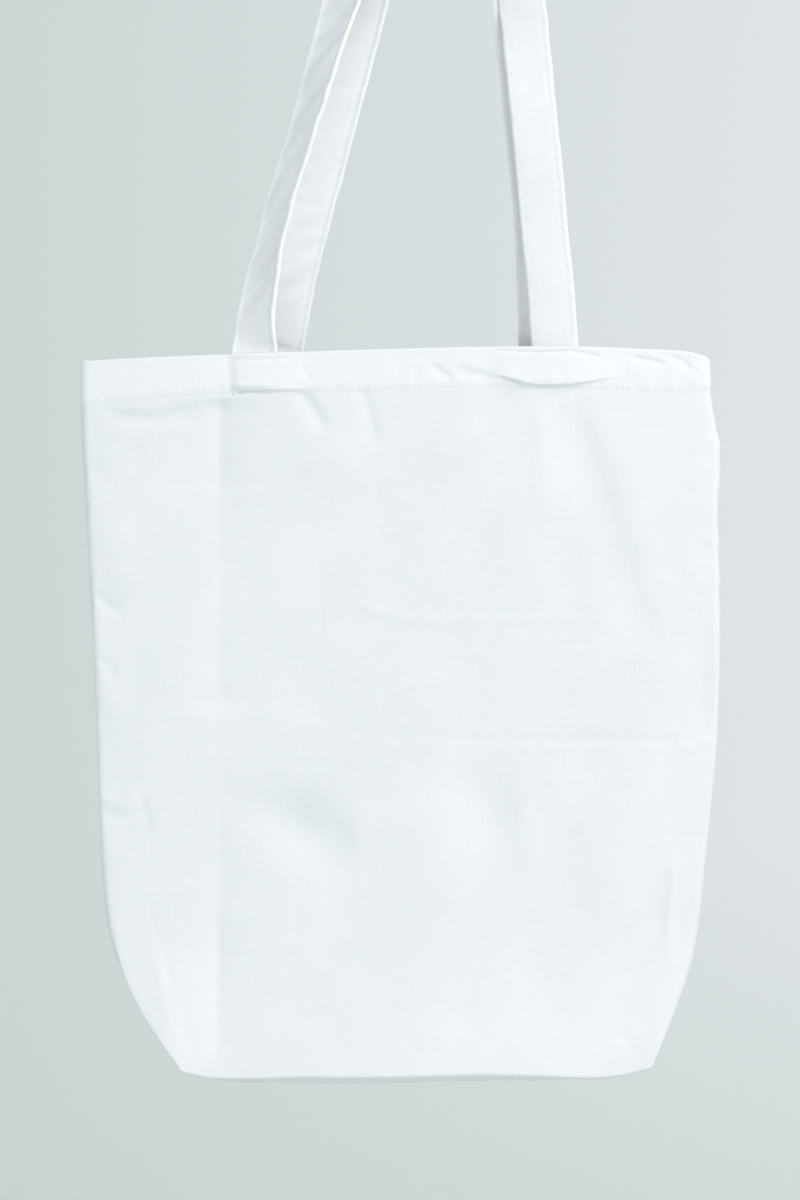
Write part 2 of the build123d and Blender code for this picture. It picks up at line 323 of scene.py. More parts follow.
def hem_relief(x, z, face):
    """How the hem stands out: thicker than the panel, fuller over the straps, puckered by its stitches."""
    line = hem_line(x)
    above = ramp(z, line - 1.0 * MM, line + 1.0 * MM)
    out = 0.45 * MM * above
    for k, place in enumerate(sewn_places(face)):
        over = bell(x, place, 20 * MM) * ramp(z, line - 2 * MM, line + 5 * MM)
        out = out + (0.9 if k else 0.7) * MM * over * (0.55 + 0.45 * bell(z, TOP - 12 * MM, 10 * MM))
    stitch = z - line - HEM_ROW
    out = out - 0.22 * MM * np.exp(-np.abs(stitch / (0.9 * MM)) ** 1.5)
    pucker = ripple(x, z, 9 * MM, 11 + face, (1, 5))
    out = out + 0.12 * MM * pucker * np.exp(-np.abs(stitch) / (6 * MM))
    if face > 0:
        out = out + overhang(x, z, [(60, 418), (110, 415.5)], 1.4, (58, 70), (100, 122))
        return out + overhang(x, z, [(-90, 417), (-50, 417)], 1.2, (-92, -84), (-60, -46))
    out = out + overhang(x, z, HEM_FOLD_RIGHT, 2.4, (54, 70), (104, 140))
    out = out + overhang(x, z, [(-98, 417.6), (-75, 416.6), (-50, 416.6)], 1.5, (-98.5, -94), (-66, -50))
    out = out + crease(x, z, [(22, 431), (28, 425), (35, 421)], 3.2, -0.8, 0.2, 0.9)
    out = out + crease(x, z, [(34, 428), (48, 424), (62, 420)], 4.0, -0.7, 0.3, 1.0)
    out = out + crease(x, z, [(104, 435.6), (114, 433), (124, 431)], 1.8, -0.7, 0.2, 0.5)
    out = out + crease(x, z, [(140, 431), (151, 428.5), (161, 426)], 2.2, -0.8, 0.2, 0.7)
    out = out + crease(x, z, [(163, 431), (172, 427), (178, 421)], 2.4, -0.7, 0.2, 0.6)
    above_right = [(58, 437.2), (72, 435.6), (84, 434.8), (98, 435), (112, 436)]
    out = out + crease(x, z, above_right, 1.0, -0.7, 0.2, 0.4)
    out = out + crease(x, z, [(-101, 436.6), (-84, 435.6), (-60, 436)], 0.9, -0.5, 0.15, 0.3)
    out = out + pleat(x, z, [(-98.4, 440), (-98.4, 413)], 1.6, 12, 7, 0.1)
    out = out + crease(x, z, [(-102, 419.2), (-90, 418.2), (-72, 417.2)], 2.6, -0.5, 0.25, 1.7)
    return out + crease(x, z, [(-58, 430), (-50, 422)], 3.0, -0.4, 0.2, -0.3)


def front_relief(x, z):
    """Pressed creases and soft folds of the front, as height above its smooth shape."""
    fold_line = [(-104.3, 416), (-106.5, 370), (-113, 141), (-117.5, 10)]
    drag_line = [(102, 418), (110, 392), (118, 368), (126, 343), (133, 318), (140, 290), (152, 250)]
    folds = [
        pleat(x, z, fold_line, 0.7, 22, 24, 0.02),
        pleat(x, z, [(-104.3, 416), (-106.5, 370), (-110.7, 222)], 1.6, 24, 26, 0.06),
        pleat(x, z, [(-104, 419), (-106.8, 352)], 1.8, 14, 9, 0.2),
        pleat(x, z, [(-111.8, 182), (-117.4, 12)], 2.6, 26, 15, 0.3),
        pleat(x, z, [(-114.3, 112), (-118, 4)], 2.2, 10, 38, 0.3),
        crease(x, z, [(-29, 288), (-11, 282.5)], 1.4, 0.6, 0.2, -0.3),
        crease(x, z, [(-32, 288), (14, 277), (52, 277), (125, 276)], 2.2, 0.3, 0.2, -0.25),
        crease(x, z, [(-36, 209.5), (50, 206), (160, 201), (176, 199)], 1.8, -0.5, 0.1),
        crease(x, z, [(158, 201), (171, 197), (181, 204)], 3, 0.6, 0.2, -0.4),
        crease(x, z, [(80, 420), (64, 407), (46, 394), (36, 386)], 6.5, -1.6, 0.45, 0.2),
        crease(x, z, drag_line, 14, -1.0, 0.22, 1.6),
        crease(x, z, [(82, 414), (86, 380), (88, 330)], 8, 0.6, 0.2),
        crease(x, z, [(-58, 420), (-48, 405), (-40, 392)], 5, -1.4, 0.2, 1.2),
        crease(x, z, [(-19, 420), (-14, 398), (-12, 382)], 5, -0.9, 0.2, 0.8),
        crease(x, z, [(-174, 406), (-145, 404), (-114, 409)], 5.5, -0.8, 0.25, 1.8),
        crease(x, z, [(-160, 392), (-152, 380), (-156, 366)], 6, -0.6, 0.3, 0.3),
        dent(x, z, (-40, 376), (26, 16), -30, 1.5),
        dent(x, z, (-22, 332), (54, 24), 38, -2.4),
        dent(x, z, (-64, 155), (36, 18), -27, -5.2),
        dent(x, z, (-30, 150), (8, 16), -10, 1.2),
        dent(x, z, (44, 168), (28, 20), -70, -3.9),
        dent(x, z, (68, 158), (8, 26), 8, 0.9),
        crease(x, z, [(-186, 178), (-170, 174), (-158, 184)], 2.6, 1.1, 0.2, -0.6),
        crease(x, z, [(-185, 168), (-168, 164), (-155, 170)], 2.6, -1.1, 0.2, -0.4),
        crease(x, z, [(-160, 182), (-153, 160), (-160, 150)], 2.2, -0.8, 0.2, 0.3),
        crease(x, z, [(-187, 300), (-176, 290), (-166, 284)], 3.0, -1.0, 0.25, -0.9),
        crease(x, z, [(-187, 262), (-178, 256), (-172, 244)], 3.0, -0.9, 0.25, -0.7),
        crease(x, z, [(-187, 226), (-176, 222)], 3.0, -0.9, 0.25, -0.5),
        crease(x, z, [(-150, 90), (-147, 62), (-143, 35)], 5, 0.6, 0.2, -0.4),
        crease(x, z, [(-160, 120), (-140, 60), (-130, 22)], 6, -0.5, 0.2, -0.3),
        crease(x, z, [(158, 142), (155.5, 125), (150, 82), (146, 60)], 4, 1.2, 0.4, 0.4),
        crease(x, z, [(117, 34), (126, 22), (133, 15)], 2.6, -0.8, 0.2, -0.4),
        crease(x, z, [(-9, 33), (5, 23)], 1.8, -0.5, 0.2),
        dent(x, z, (-185, 372), (9, 7), 0, -1.8),
        dent(x, z, (-178, 293), (13, 9), 15, -1.2),
        dent(x, z, (-176, 235), (10, 14), 0, 0.8),
        dent(x, z, (-170, 330), (12, 18), 0, 0.8),
    ]
    slack = 0.9 * ripple(x, z, 160 * MM, 5, (1, 1.8)) + 0.3 * ripple(x, z, 46 * MM, 8, (1, 1.6))
    return sum(folds), slack * MM


def back_relief(x, z):
    """The same kinds of crease on the back, with the long pressed fold in line with the front's."""
    folds = [
        crease(x, z, [(-104.5, 413), (-113.5, 141), (-117.5, 10)], 2.6, 0.6, 0),
        crease(x, z, [(-60, 282), (20, 277), (125, 276)], 2.2, -0.3, 0.2, 0.2),
        crease(x, z, [(-120, 209.5), (50, 206), (170, 200)], 2.4, 0.35, 0.1, 0.4),
        crease(x, z, [(76, 412), (60, 396), (52, 372)], 4.5, -0.6, 0.2, 0.8),
        crease(x, z, [(-60, 412), (-44, 384), (-38, 340)], 4.5, -0.5, 0.2, -0.8),
        crease(x, z, [(150, 130), (147, 98), (141, 70)], 4.0, -0.5, 0.2, -0.7),
    ]
    slack = 1.2 * ripple(x, z, 140 * MM, 23, (1, 1.7)) + 0.25 * ripple(x, z, 44 * MM, 29, (1, 1.6))
    return sum(folds), slack * MM


def panel_relief(points, face):
    x, z = points[..., 0], points[..., 2]
    folds, slack = (front_relief if face < 0 else back_relief)(x, z)
    edge = np.minimum(x + HALF_WIDTH, HALF_WIDTH - x)
    seam = ramp(edge, 0, 12 * MM)
    base = ramp(z, 12 * MM, 40 * MM)
    below_hem = 1 - ramp(z, hem_line(x) - 3 * MM, hem_line(x) + 1 * MM)
    hung = 1 - ramp(z, hem_line(x) - 90 * MM, hem_line(x) + 10 * MM)
    side_pucker = 0.25 * MM * ripple(x, z, 14 * MM, 31 + face, (5, 1)) * np.exp(-edge / (9 * MM))
    relief = (folds * (0.12 + 0.88 * below_hem) + slack * hung) * (0.2 + 0.8 * seam) * (0.3 + 0.7 * base)
    return relief + side_pucker * base + hem_relief(x, z, face)


def top_fold(points, normal):
    """Rows that take the panel's top over the fold and a little way down the inside."""
    inward = -normal[-1] * np.array([1, 1, 0])
    up = np.array([0, 0, 1.0])
    rows = []
    for angle in np.radians([30, 60, 90, 120, 150, 180]):
        rows.append(points[-1] + inward * FOLD * (1 - math.cos(angle)) + up * FOLD * math.sin(angle))
    rows.append(points[-1] + inward * 2 * FOLD - up * TURN_IN)
    return np.concatenate([points, np.array(rows)])


def base_points(edge, face):
    """Half of the base: it hangs between the wall's lower edge and the seam along its middle."""
    front = edge[CORNER : COLUMNS - CORNER + 1]
    left = edge[CORNER::-1]
    right = edge[COLUMNS - CORNER :]
    t = np.linspace(0, 1, len(front))[:, None]
    seam = left[-1] + (right[-1] - left[-1]) * t
    dip = 1 - np.abs(2 * t[:, 0] - 1) ** 5
    low = smooth_through(BASE_SAG, seam[:, 0] / MM) * MM
    seam[:, 2] -= (seam[:, 2] - low) * ramp(dip, 0, 0.5)
    out = np.zeros((CORNER + 1, len(front), 3))
    for j in range(CORNER + 1):
        s = j / CORNER
        ends = left[j] * (1 - t) + right[j] * t
        corners = (front[0] * (1 - t) + front[-1] * t) * (1 - s) + (seam[0] * (1 - t) + seam[-1] * t) * s
        out[j] = front * (1 - s) + seam * s + ends - corners
        belly = math.sin(math.pi * s) * 1.6 * MM * dip
        out[j, :, 2] -= belly
    x, y = out[..., 0], out[..., 1]
    share = np.arange(CORNER + 1)[:, None] / CORNER
    loose = ramp(share, 0, 0.3) * ramp(1 - share, 0, 0.3) * ramp(1 - np.abs(2 * t.T - 1), 0, 0.1)
    out[..., 2] += 0.5 * MM * ripple(x, y, 40 * MM, 41 + face) * loose
    out[..., 2] = np.maximum(out[..., 2], 0.3 * MM)
    return out


def shaped_wall(face):
    """A panel's smooth wall, and the same wall with its folds."""
    smooth = wall_points(face)
    return smooth, smooth + outward(smooth, face) * panel_relief(smooth, face)[..., None]


def panel_mesh(name, face):
    """Wall, hem fold and half base of one panel, as one sheet. Its edges stay smooth, to meet the other's."""
    smooth, wall = shaped_wall(face)
    wall[:, 0], wall[:, -1] = smooth[:, 0], smooth[:, -1]
    wall[0] = smooth[0]
    top = top_fold(wall, outward(wall, face))
    base = base_points(wall[0], face)
    rows, columns = top.shape[:2]
    verts = top.reshape(-1, 3).tolist()
    index = np.arange(rows * columns).reshape(rows, columns)
    length = np.cumsum(np.linalg.norm(np.diff(top[:, columns // 2], axis=0), axis=1))
    v = np.concatenate([[0], length])
    u = (np.linspace(0, 1, columns) - 0.5) * 2 * HALF_WIDTH
    uv = [(u[c], v[r]) for r in range(rows) for c in range(columns)]
    faces = grid_faces(index)
    base_index = np.zeros(base.shape[:2], int)
    base_index[0] = index[0, CORNER : COLUMNS - CORNER + 1]
    for j in range(1, CORNER + 1):
        base_index[j, 0] = index[0, CORNER - j]
        base_index[j, -1] = index[0, COLUMNS - CORNER + j]
        start = len(verts)
        verts += base[j, 1:-1].tolist()
        base_index[j, 1:-1] = np.arange(start, len(verts))
        uv += [(u[c], -j * BASE_ROW) for c in range(CORNER + 1, COLUMNS - CORNER)]
    faces += grid_faces(base_index[::-1])
    if face > 0:
        faces = [f[::-1] for f in faces]
    piece = make_piece(name, verts, faces, uv)
    spots = np.array(verts)
    # Whiter where the hem's cloth lies triple; the straps carry a painted highlight in the same attribute
    plies_and_rim_highlight = ramp(spots[:, 2], hem_line(spots[:, 0]) - 0.5 * MM, hem_line(spots[:, 0]) + 0.5 * MM)
    add_attribute(piece, "plies_and_rim_highlight", 0.3 * plies_and_rim_highlight)
    return piece


def add_attribute(piece, name, values):
    layer = piece.data.attributes.new(name, "FLOAT", "POINT")
    layer.data.foreach_set("value", values.astype(np.float32))


def grid_faces(index):
    a = index[:-1, :-1].ravel()
    b = index[:-1, 1:].ravel()
    c = index[1:, 1:].ravel()
    d = index[1:, :-1].ravel()
    return np.stack([a, b, c, d], axis=1).tolist()


def make_piece(name, verts, faces, uv=None):
    mesh = bpy.data.meshes.new(name)
    mesh.from_pydata([tuple(v) for v in verts], [], faces)
    if uv is not None:
        layer = mesh.uv_layers.new(name="Cloth")
        loops = np.zeros(len(mesh.loops), int)
        mesh.loops.foreach_get("vertex_index", loops)
        layer.data.foreach_set("uv", np.array(uv, float)[loops].ravel())
    mesh.polygons.foreach_set("use_smooth", [True] * len(mesh.polygons))
    mesh.update()
    piece = bpy.data.objects.new(name, mesh)
    bpy.context.scene.collection.objects.link(piece)
    return piece


def thicken(piece, thickness, offset=-1.0):
    solid = piece.modifiers.new("Thickness", "SOLIDIFY")
    solid.thickness = thickness
    solid.offset = offset
    solid.use_even_offset = False
    return piece


# ---------------------------------------------------------------- straps


def strap_line(strap):
    """Points along the middle of a strap's free length, with the height of the arc's ends."""
    left = np.array(strap["left"], float)
    right = np.array(strap["right"], float)
    up = (left[-1] - left[-2]) / np.linalg.norm(left[-1] - left[-2])
    down = (right[1] - right[0]) / np.linalg.norm(right[1] - right[0])
    solve = np.array([[up[0], down[0]], [up[1], down[1]]])
    rise = np.linalg.solve(solve, right[0] - left[-1])[0]
    meet = left[-1] + up * rise
    half = (math.pi - math.acos(float(up @ down))) / 2
    start = meet - up * strap["radius"] / math.tan(half)
    end = meet + down * strap["radius"] / math.tan(half)
    axis = (down - up) / np.linalg.norm(down - up)
    centre = meet + axis * strap["radius"] / math.sin(half)
    first = math.atan2(*(start - centre)[::-1])
    last = math.atan2(*(end - centre)[::-1])
    turn = np.linspace(first, last, 60)[1:-1]
    arc = centre + strap["radius"] * np.stack([np.cos(turn), np.sin(turn)], axis=1)
    legs = []
    for keys in (np.vstack([left, start]), np.vstack([end, right])[::-1]):
        heights = np.linspace(0, keys[-1, 1], 160)
        legs.append(np.stack([smooth_through(keys[:, ::-1], heights), heights], axis=1))
    line = np.vstack([legs[0], arc, legs[1][::-1]])
    return line * MM, max(start[1], end[1]) * MM


class StrapPath:
    """The middle, direction and facing of a strap at each length along it, sewn ends included."""

    def __init__(self, strap):
        self.strap = strap
        self.face = strap["face"]
        line, self.turn_height = strap_line(strap)
        steps = np.hypot(*np.diff(line, axis=0).T)
        self.at = np.concatenate([[0], np.cumsum(steps)])
        self.length = self.at[-1]
        self.line = line
        self.depth = self.face * (MOUTH - STRAP_SETBACK)

    def stations(self, s):
        """The strap's middle, its direction, how it faces, the way across it and its height above the hem."""
        x = np.interp(s, self.at, self.line[:, 0])
        h = np.interp(s, self.at, self.line[:, 1])
        beyond = np.minimum(s, 0) + np.minimum(self.length - s, 0)
        h = h + beyond
        lean = np.clip(1 - h / self.turn_height, 0, 1)
        y = self.depth * np.where(h < 0, 1, lean)
        middle = np.stack([x, y, TOP + h], axis=1)
        along = np.gradient(middle, axis=0)
        along[:, 1] = 0
        along /= np.linalg.norm(along, axis=1, keepdims=True)
        outside = np.stack([-along[:, 2], 0 * x, along[:, 0]], axis=1)
        left = smooth_through(self.strap["twist_left"], h / MM)
        right = smooth_through(self.strap["twist_right"], h / MM)
        angle = np.radians(np.where(s < self.length / 2, left, right)) * ramp(h, -4 * MM, 14 * MM)
        normal = np.array([0, -1.0, 0]) * np.cos(angle)[:, None] + outside * np.sin(angle)[:, None]
        width = np.cross(normal, along)
        return middle, along, normal, width, h


def strap_relief(path, s, w, outer):
    """How far one face of a strap stands from its middle surface at length s and width w."""
    strap = path.strap
    half = STRAP / 2
    edge = half - np.abs(w)
    firm = 1 - 0.65 * ramp(s, *RAIL_FADE)
    rail = firm * (0.7 * bell(edge, 1.5 * MM, 1.3 * MM) - 0.5 * bell(edge, 3.3 * MM, 1.0 * MM))
    crown = 0.25 * (1 - (w / half) ** 2)
    pucker = 0.15 * ripple(s, w, 7 * MM, 51 + strap["face"], (1, 6)) * bell(edge, EDGE_ROW, 3.5 * MM)
    seed = 61 + strap["face"] + (10 if outer else 0)
    band = 0.22 * ripple(s + 0.35 * w, w, 17 * MM, seed, (1, 3.5))
    return (rail + crown + pucker + band) * MM


def strap_bow(path, s, w):
    """Soft waves of a strap's middle surface: diagonal pulls where it twists, gentle bands elsewhere, and a
    dip where it leaves the hem."""
    seed = 71 + path.strap["face"]
    end = ramp(s, 2 * MM, 40 * MM) * ramp(path.length - s, 2 * MM, 40 * MM)
    pulls = 0.5 * ripple(s + 0.9 * w, w, 44 * MM, seed, (1, 2.5))
    turned = 1 - ramp(s, *TURN_FADE)
    arch = 1 - (2 * w / STRAP) ** 2
    diagonal = path.strap["pull"] * turned * ripple(s + 1.1 * w, w, 21 * MM, seed + 3, (1, 3)) * arch
    cup = -0.9 * turned * ramp(s, 20 * MM, 90 * MM) * arch
    front = 1.0 if path.face < 0 else 0.0
    curl = 1.5 * front * turned * np.clip((w - 7 * MM) / (7 * MM), 0, 1) ** 2
    root = -0.9 * bell(s, 5.5 * MM, 2.6 * MM) * (1 - (2 * w / STRAP) ** 4)
    return ((pulls + diagonal + cup + curl) * end + root) * MM


def strap_mesh(name, path):
    """One strap with both sewn ends, as a closed tube of flat section."""
    sewn = TOP - HEM_LINE
    s = np.linspace(-sewn, path.length + sewn, STRAP_ROWS)
    middle, _, normal, width, _ = path.stations(s)
    half = STRAP / 2
    turn = np.linspace(-0.5, 0.5, 25) * math.pi
    across = half * np.sin(turn)
    thick = np.clip(1 - (np.abs(across) / half) ** 14, 0, 1) ** 0.5
    rings = []
    for side, order in ((1, slice(None)), (-1, slice(-2, 0, -1))):
        w = across[order][None, :] + 0 * s[:, None]
        proud = STRAP_THICK / 2 * thick[order][None, :]
        proud = proud + strap_relief(path, s[:, None], w, side > 0) * thick[order]
        lift = side * proud + strap_bow(path, s[:, None], w)
        edge_wave = 0.25 * MM * ripple(s[:, None], w, 23 * MM, 81 + path.strap["face"], (1, 9))
        w = w + edge_wave * np.abs(w) / half
        point = middle[:, None] + normal[:, None] * lift[..., None] + width[:, None] * w[..., None]
        rings.append(point)
    ring = np.concatenate(rings, axis=1)
    rows, columns = ring.shape[:2]
    index = np.arange(rows * columns).reshape(rows, columns)
    wrapped = np.concatenate([index, index[:, :1]], axis=1)
    faces = grid_faces(wrapped)
    faces += [index[0, ::-1].tolist(), index[-1].tolist()]
    flat_across = np.concatenate([across, 2 * half + across[1:-1]])
    uv = [(flat_across[c], s[r]) for r in range(rows) for c in range(columns)]
    piece = make_piece(name, ring.reshape(-1, 3), faces, uv)
    offsets = np.concatenate([across, across[-2:0:-1]])
    # A painted highlight along the front strap's edges, where its cloth is also folded double: lighter cloth
    # that fades out along its turned left leg
    folded_edge_highlight = bell(half - np.abs(offsets), 0.6 * MM, 1.5 * MM)
    turned = 0.75 * (1 - ramp(s, *RIM_HIGHLIGHT_FADE)) * (path.face < 0)
    add_attribute(piece, "plies_and_rim_highlight", np.outer(turned, folded_edge_highlight).ravel())
    return piece


# ---------------------------------------------------------------- thread


def stitch_shape(length, radius, sides=6):
    """One stitch: a short thread that dips into the cloth at both ends. Points are (along, across, up)."""
    verts = [(-length / 2, 0, -radius * 0.8)]
    for share, size, lift in ((-0.38, 0.75, -0.2), (-0.15, 1, 0.3), (0.15, 1, 0.3), (0.38, 0.75, -0.2)):
        for k in range(sides):
            angle = math.tau * k / sides
            across, up = math.cos(angle) * radius * size, math.sin(angle) * radius * size
            verts.append((share * length, across, up + lift * radius))
    verts.append((length / 2, 0, -radius * 0.8))
    faces = []
    last = len(verts) - 1
    for k in range(sides):
        nxt = (k + 1) % sides
        faces.append((0, 1 + nxt, 1 + k))
        for ring in range(3):
            a = 1 + ring * sides
            faces.append((a + k, a + nxt, a + sides + nxt, a + sides + k))
        faces.append((last, last - sides + k, last - sides + nxt))
    return np.array(verts), faces


def stitch_mesh(name, seams, radius=0.32 * MM):
    """Stitches laid on seams. Each seam is (points, along, up) with one row per stitch."""
    shape, shape_faces = stitch_shape(2.5 * MM, radius)
    verts, faces = [], []
    for points, along, up in seams:
        across = np.cross(up, along)
        for p, a, b, c in zip(points, along, across, up):
            start = len(verts)
            placed = p + shape[:, :1] * a + shape[:, 1:2] * b + shape[:, 2:] * c
            verts += placed.tolist()
            faces += [tuple(start + k for k in face) for face in shape_faces]
    return make_piece(name, verts, faces)


def along_curve(points, pitch):
    """Evenly spaced places on a curve of points, as fractional row numbers."""
    lengths = np.concatenate([[0], np.cumsum(np.linalg.norm(np.diff(points, axis=0), axis=1))])
    count = int(lengths[-1] / pitch)
    places = (np.arange(count) + 0.5) * lengths[-1] / count
    return np.interp(places, lengths, np.arange(len(points)))


def sample(rows, at):
    """Rows read at fractional row numbers."""
    low = np.clip(np.floor(at).astype(int), 0, len(rows) - 2)
    t = (at - low)[:, None]
    return rows[low] * (1 - t) + rows[low + 1] * t


def unit(rows):
    return rows / np.maximum(np.linalg.norm(rows, axis=-1, keepdims=True), 1e-12)


def row_on_wall(wall, face, height_at, first=None, last=None):
    """Stitches across a panel's outer face at a height that may change with x."""
    normal = outward(wall, face)
    columns = wall.shape[1]
    points, ups = [], []
    for c in range(columns):
        column = wall[:, c]
        target = height_at(column[-1, 0])
        r = int(np.clip(np.searchsorted(column[:, 2], target), 1, len(column) - 1))
        t = (target - column[r - 1, 2]) / max(column[r, 2] - column[r - 1, 2], 1e-9)
        points.append(column[r - 1] * (1 - t) + column[r] * t)
        ups.append(normal[r, c])
    points, ups = np.array(points), np.array(ups)
    if first is not None:
        keep = (points[:, 0] >= first) & (points[:, 0] <= last)
        points, ups = points[keep], ups[keep]
    at = along_curve(points, STITCH_PITCH)
    return sample(points, at), unit(sample(np.gradient(points, axis=0), at)), unit(sample(ups, at))


def rows_on_strap(path):
    """Stitches along both edges of a strap, on both its faces."""
    s = np.arange(2 * MM, path.length - 2 * MM, STITCH_PITCH)
    middle, _, normal, width, _ = path.stations(s)
    seams = []
    for w in (-STRAP / 2 + EDGE_ROW, STRAP / 2 - EDGE_ROW):
        for side in (1, -1):
            spot = np.full(len(s), w)
            lift = side * (STRAP_THICK / 2 + strap_relief(path, s, spot, side > 0)) + strap_bow(path, s, spot)
            points = middle + normal * lift[:, None] + width * w
            seams.append((points, unit(np.gradient(points, axis=0)), normal * side))
    return seams


# ---------------------------------------------------------------- inside of the bag


def inner_band(name, wall, face):
    """The hem's turned-down inner layer, from just below the fold to the hem's lower edge."""
    normal = outward(wall, face)
    inward = -normal[-1] * np.array([1, 1, 0])
    columns = wall.shape[1]
    share = np.linspace(0, 1, 14)
    x = wall[-1, :, 0]
    bottom = hem_line(x) + 0.4 * MM * ripple(x, 0 * x, 30 * MM, 91 + face)
    rows = []
    for t in share:
        row = wall[-1] + inward * (2 * FOLD + 0.3 * MM * math.sin(math.pi * t))
        row[:, 2] = (wall[-1, :, 2] - TURN_IN) * (1 - t) + bottom * t
        rows.append(row)
    rows = np.array(rows)[:, BAND_MARGIN : columns - BAND_MARGIN]
    index = np.arange(rows.shape[0] * rows.shape[1]).reshape(rows.shape[:2])
    faces = grid_faces(index)
    if face < 0:
        faces = [f[::-1] for f in faces]
    uv = [(p[0], p[2]) for p in rows.reshape(-1, 3)]
    return thicken(make_piece(name, rows.reshape(-1, 3), faces, uv), CLOTH)


def allowance(name, outer, inward, across, seed):
    """A seam's two raw edges inside the bag, a little apart and wavy along their free side."""
    along = np.concatenate([[0], np.cumsum(np.linalg.norm(np.diff(outer, axis=0), axis=1))])
    t = np.linspace(0, 1, 8)[None, :]
    s = along[:, None]
    verts, faces, uv = [], [], []
    for side in (-1, 1):
        gap = 0.1 + 0.35 * t**2 * (1 + 0.8 * ripple(s, 0 * s, 26 * MM, seed + side))
        lean = 0.5 * t**2 * ripple(s, 0 * s, 90 * MM, seed + 5)
        reach = 9.4 * MM * t + 0.35 * MM * t * ripple(s, 0 * s, 9 * MM, seed + 9 + side)
        offset = (side * (gap + 0.35) + lean) * MM
        grid = outer[:, None] + inward[:, None] * reach[..., None] + across[:, None] * offset[..., None]
        index = np.arange(grid.shape[0] * grid.shape[1]).reshape(grid.shape[:2]) + len(verts)
        faces += grid_faces(index)
        verts += grid.reshape(-1, 3).tolist()
        uv += [(a, b) for a in along for b in t[0] * 10 * MM]
    return thicken(make_piece(name, verts, faces, uv), 0.7 * MM, 0.0)


# ---------------------------------------------------------------- materials


class Nodes:
    """Short ways to add and join shader nodes."""

    def __init__(self, name):
        self.material = bpy.data.materials.new(name)
        self.material.use_nodes = True
        self.tree = self.material.node_tree
        self.tree.nodes.clear()
        self.shader = self.add("ShaderNodeBsdfPrincipled")
        out = self.add("ShaderNodeOutputMaterial")
        self.tree.links.new(self.shader.outputs["BSDF"], out.inputs["Surface"])

    def add(self, kind, **values):
        node = self.tree.nodes.new(kind)
        for key, value in values.items():
            setattr(node, key, value)
        return node

    def put(self, value, socket):
        if hasattr(value, "is_output"):
            self.tree.links.new(value, socket)
        else:
            socket.default_value = value

    def math(self, operation, *values):
        node = self.add("ShaderNodeMath", operation=operation)
        for k, value in enumerate(values):
            self.put(value, node.inputs[k])
        return node.outputs[0]

    def noise(self, vector, scale, detail=2.0, rough=0.5):
        node = self.add("ShaderNodeTexNoise")
        self.put(vector, node.inputs["Vector"])
        node.inputs["Scale"].default_value = scale
        node.inputs["Detail"].default_value = detail
        node.inputs["Roughness"].default_value = rough
        return node.outputs["Fac"]

    def stretched(self, vector, scale):
        node = self.add("ShaderNodeVectorMath", operation="MULTIPLY")
        self.put(vector, node.inputs[0])
        node.inputs[1].default_value = scale
        return node.outputs[0]

    def span(self, value, low, high, to_low=0.0, to_high=1.0):
        node = self.add("ShaderNodeMapRange")
        self.put(value, node.inputs["Value"])
        for key, number in (("From Min", low), ("From Max", high), ("To Min", to_low), ("To Max", to_high)):
            node.inputs[key].default_value = number
        return node.outputs["Result"]

    def blend_colours(self, share, a, b):
        node = self.add("ShaderNodeMix", data_type="RGBA")
        self.put(share, node.inputs["Factor"])
        self.put(a, node.inputs[6])
        self.put(b, node.inputs[7])
        return node.outputs[2]

    def bump(self, height, distance, strength=1.0, below=None):
        node = self.add("ShaderNodeBump")
        node.inputs["Strength"].default_value = strength
        node.inputs["Distance"].default_value = distance
        self.put(height, node.inputs["Height"])
        if below is not None:
            self.put(below, node.inputs["Normal"])
        return node.outputs["Normal"]


FULL_WHITE = (0.93, 0.935, 0.94, 1)  # where the hem's cloth lies triple and the straps' folded double, and a painted highlight along the front strap's turned edges
